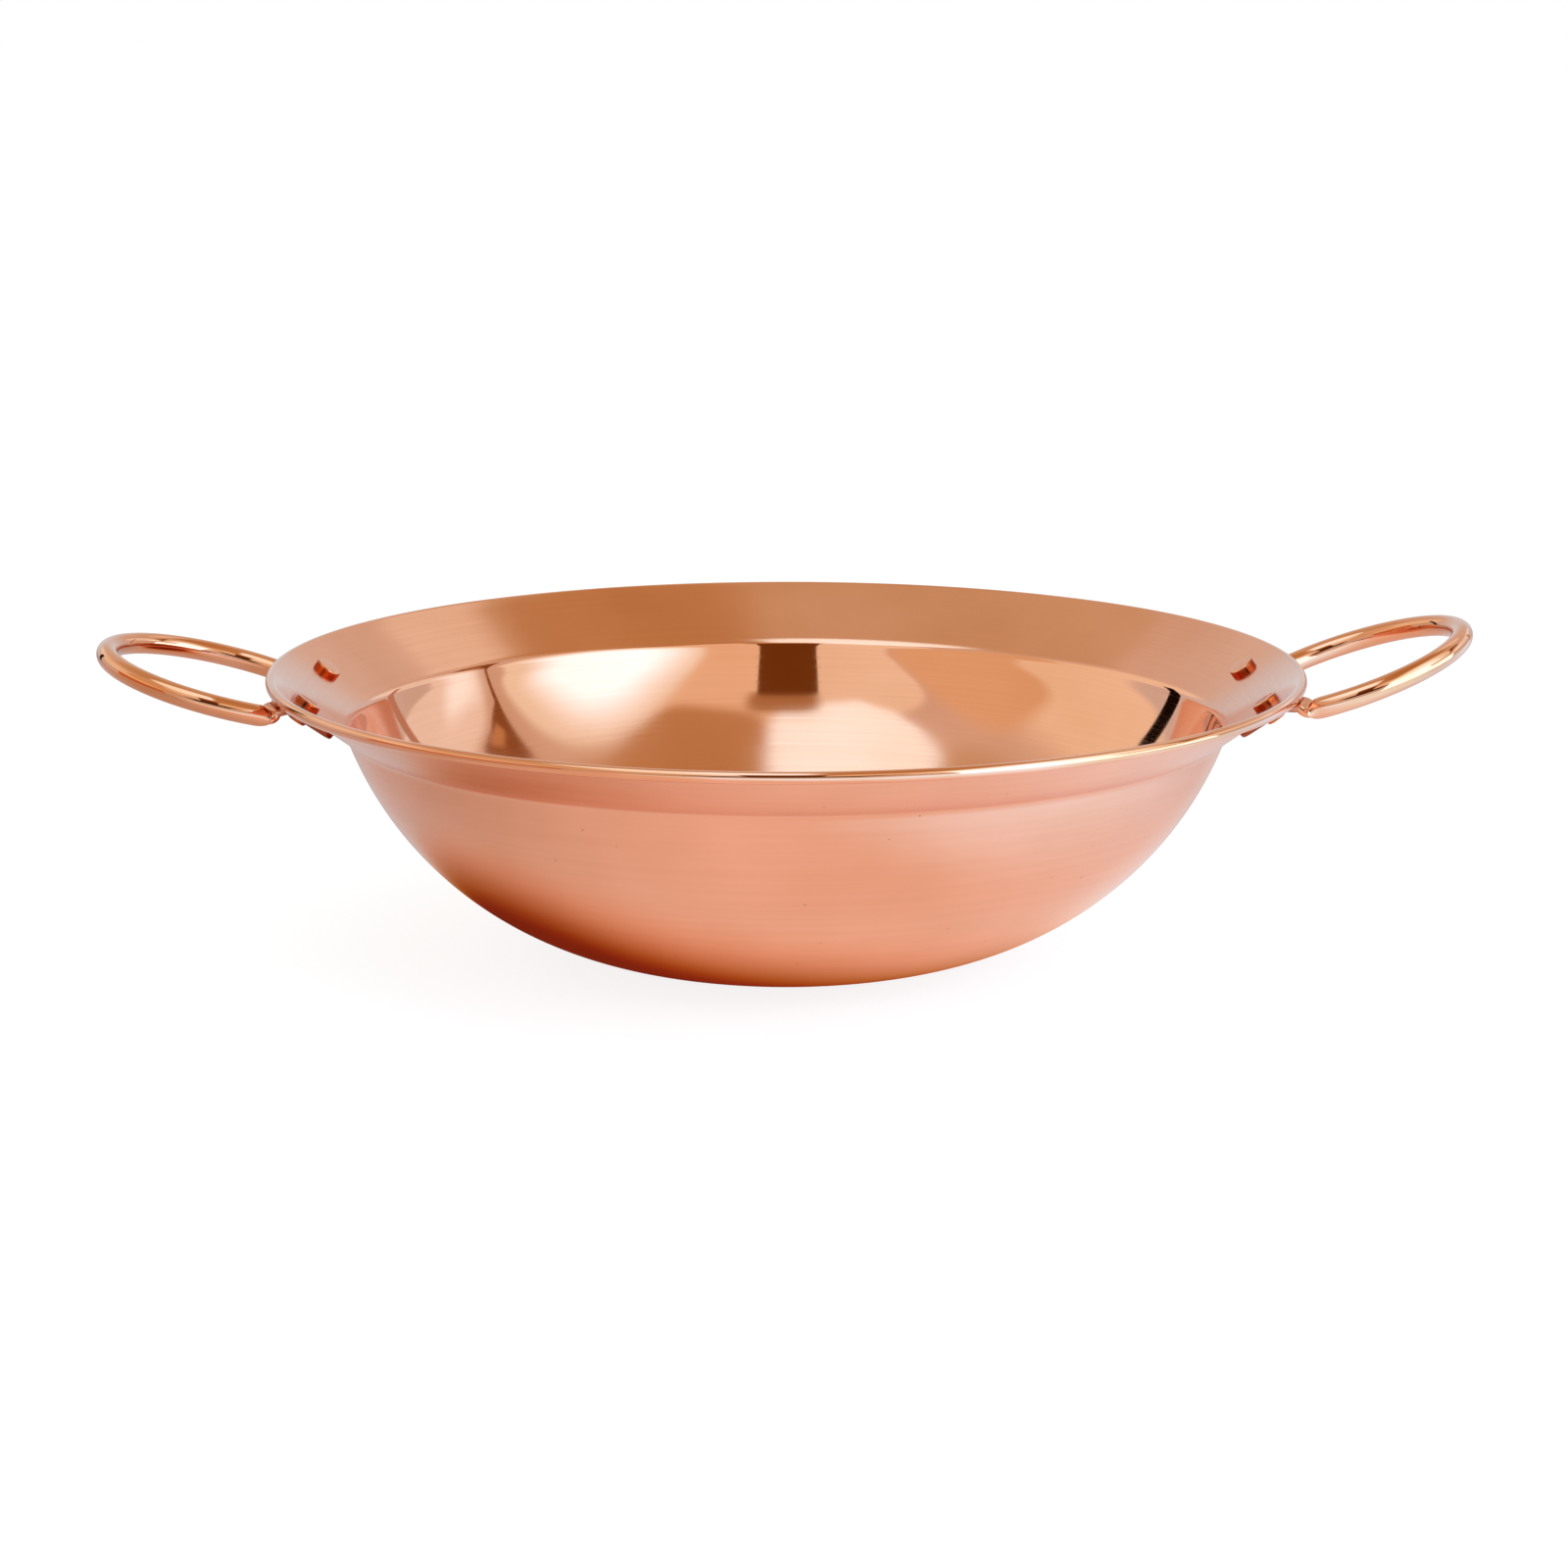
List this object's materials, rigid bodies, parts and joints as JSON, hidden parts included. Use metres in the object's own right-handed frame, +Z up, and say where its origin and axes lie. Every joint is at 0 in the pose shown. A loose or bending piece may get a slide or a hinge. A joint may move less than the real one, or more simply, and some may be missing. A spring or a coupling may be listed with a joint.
{
  "type": "ramen pot",
  "caption": "Shallow round pot with a flared flange, rolled rim and a riveted wire loop handle on each side, in copper-coloured metal.",
  "frame": {"origin": "middle of the flat base, on the surface that the pot stands on", "axes": "+Z up through the bowl, handles along +X and -X, front towards -Y"},
  "size_m": [0.3185, 0.24, 0.0779],
  "materials": {
    "bowl_sheet": "copper-coloured plating, satin brushed outside and polished inside",
    "handle_wire": "copper-coloured plating, polished",
    "rivet_metal": "copper-coloured plating, polished"
  },
  "bodies": {
    "root": {"bowl": "bowl_sheet", "handle_right": "handle_wire", "handle_left": "handle_wire", "rivet_right_front": "rivet_metal", "rivet_right_back": "rivet_metal", "rivet_left_front": "rivet_metal", "rivet_left_back": "rivet_metal"}
  },
  "joints": []
}
